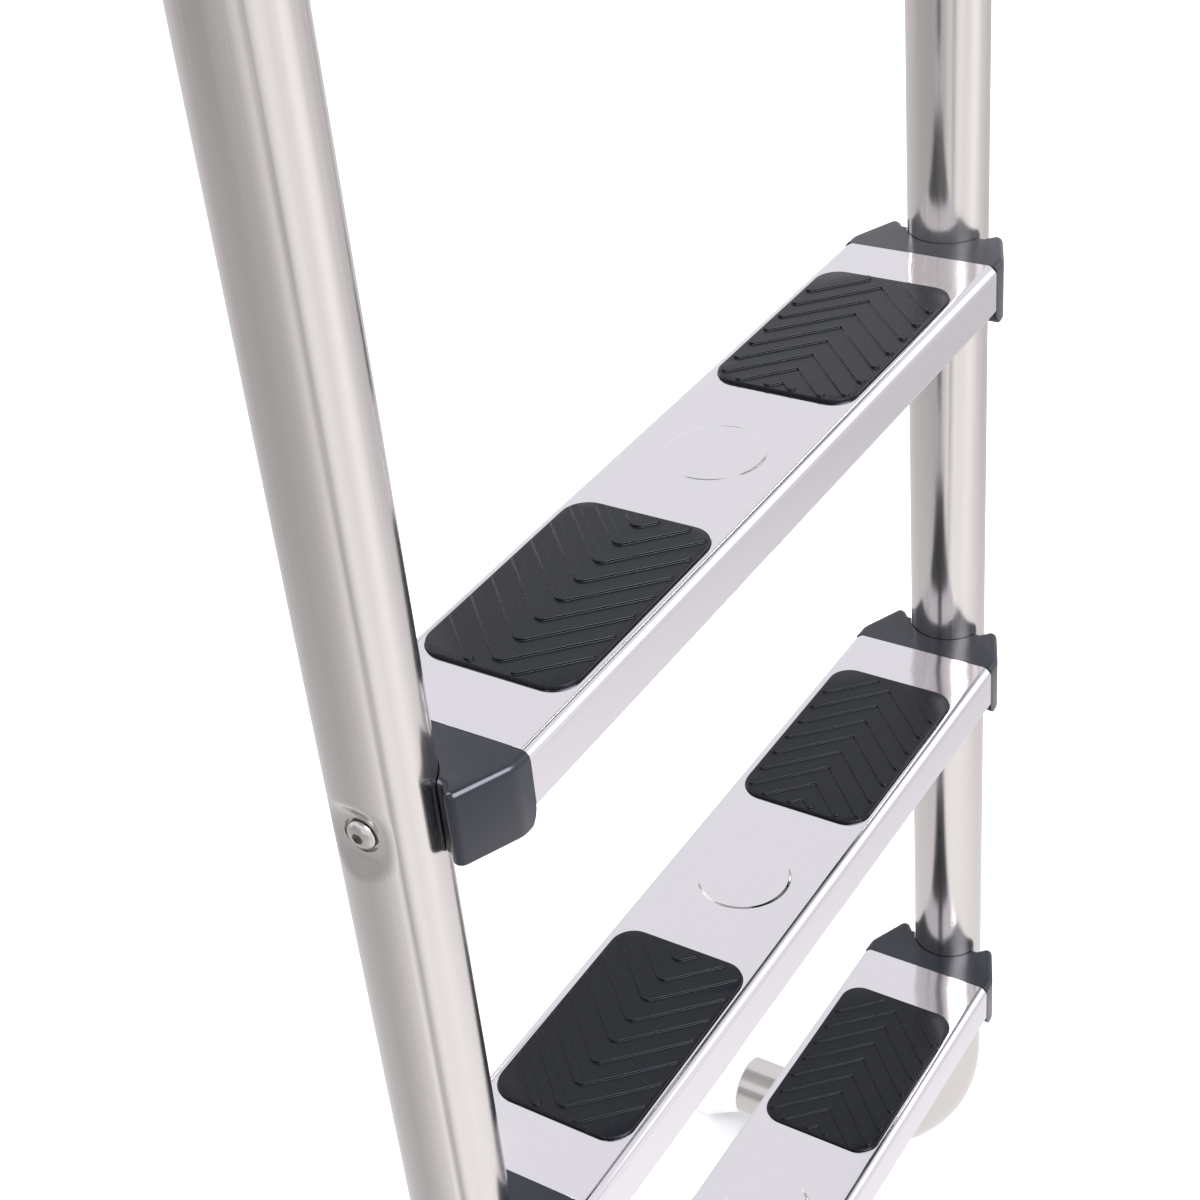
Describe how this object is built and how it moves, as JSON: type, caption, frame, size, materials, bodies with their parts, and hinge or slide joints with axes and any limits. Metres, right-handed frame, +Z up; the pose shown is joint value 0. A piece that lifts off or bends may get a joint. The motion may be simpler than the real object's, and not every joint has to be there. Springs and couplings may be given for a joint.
{
  "type": "boat boarding ladder",
  "caption": "Folding boarding ladder: bent stainless rails with arched handrails on deck hinges, channel treads with ribbed rubber pads and black end caps.",
  "frame": {"origin": "on the deck plane, midway between the two hinge bases", "axes": "+Z up, -Y outboard to the climber's side, +Y inboard over the deck, X along the treads with the left rail at -X"},
  "size_m": [0.61, 0.582, 1.692],
  "materials": {
    "rail_tube": "polished stainless tube with a fine lengthwise grain",
    "tread_sheet": "bright polished stainless sheet",
    "hinge_steel": "satin stainless",
    "fasteners": "bright stainless fasteners",
    "pad_rubber": "matt black moulded rubber",
    "cap_plastic": "satin black moulded nylon",
    "bumper_plastic": "white translucent moulded plastic",
    "washer_plastic": "white nylon",
    "knob_plastic": "satin black moulded nylon"
  },
  "bodies": {
    "deck_bases": {"deck_base_left": "hinge_steel", "hinge_pin_left": "fasteners", "pin_washer_left": "fasteners", "slip_washer_a_left": "washer_plastic", "slip_washer_b_left": "washer_plastic", "deck_base_right": "hinge_steel", "hinge_pin_right": "fasteners", "pin_washer_right": "fasteners", "slip_washer_a_right": "washer_plastic", "slip_washer_b_right": "washer_plastic"},
    "ladder": {"rail_left": "rail_tube", "bumper_left": "bumper_plastic", "hinge_foot_left": "hinge_steel", "foot_screw_left": "fasteners", "rail_right": "rail_tube", "bumper_right": "bumper_plastic", "hinge_foot_right": "hinge_steel", "foot_screw_right": "fasteners", "tread_1": "tread_sheet", "pad_1_left": "pad_rubber", "end_cap_1_left": "cap_plastic", "tread_bolt_1_left": "fasteners", "tread_nut_1_left": "fasteners", "pad_1_right": "pad_rubber", "end_cap_1_right": "cap_plastic", "tread_bolt_1_right": "fasteners", "tread_nut_1_right": "fasteners", "tread_2": "tread_sheet", "pad_2_left": "pad_rubber", "end_cap_2_left": "cap_plastic", "tread_bolt_2_left": "fasteners", "tread_nut_2_left": "fasteners", "pad_2_right": "pad_rubber", "end_cap_2_right": "cap_plastic", "tread_bolt_2_right": "fasteners", "tread_nut_2_right": "fasteners", "tread_3": "tread_sheet", "pad_3_left": "pad_rubber", "end_cap_3_left": "cap_plastic", "tread_bolt_3_left": "fasteners", "tread_nut_3_left": "fasteners", "pad_3_right": "pad_rubber", "end_cap_3_right": "cap_plastic", "tread_bolt_3_right": "fasteners", "tread_nut_3_right": "fasteners"},
    "knob_left": {"clamp_knob_left": "knob_plastic"},
    "knob_right": {"clamp_knob_right": "knob_plastic"}
  },
  "joints": [
    {"name": "ladder_swing", "type": "hinge", "parent": "deck_bases", "child": "ladder", "pos_m": [0, 0, 0.045], "axis": [-1, 0, 0], "range_deg": [0, 90]},
    {"name": "knob_left_turn", "type": "hinge", "parent": "deck_bases", "child": "knob_left", "pos_m": [-0.25, 0, 0.045], "axis": [-1, 0, 0], "range_deg": [0, 180]},
    {"name": "knob_right_turn", "type": "hinge", "parent": "deck_bases", "child": "knob_right", "pos_m": [0.25, 0, 0.045], "axis": [1, 0, 0], "range_deg": [0, 180]}
  ]
}
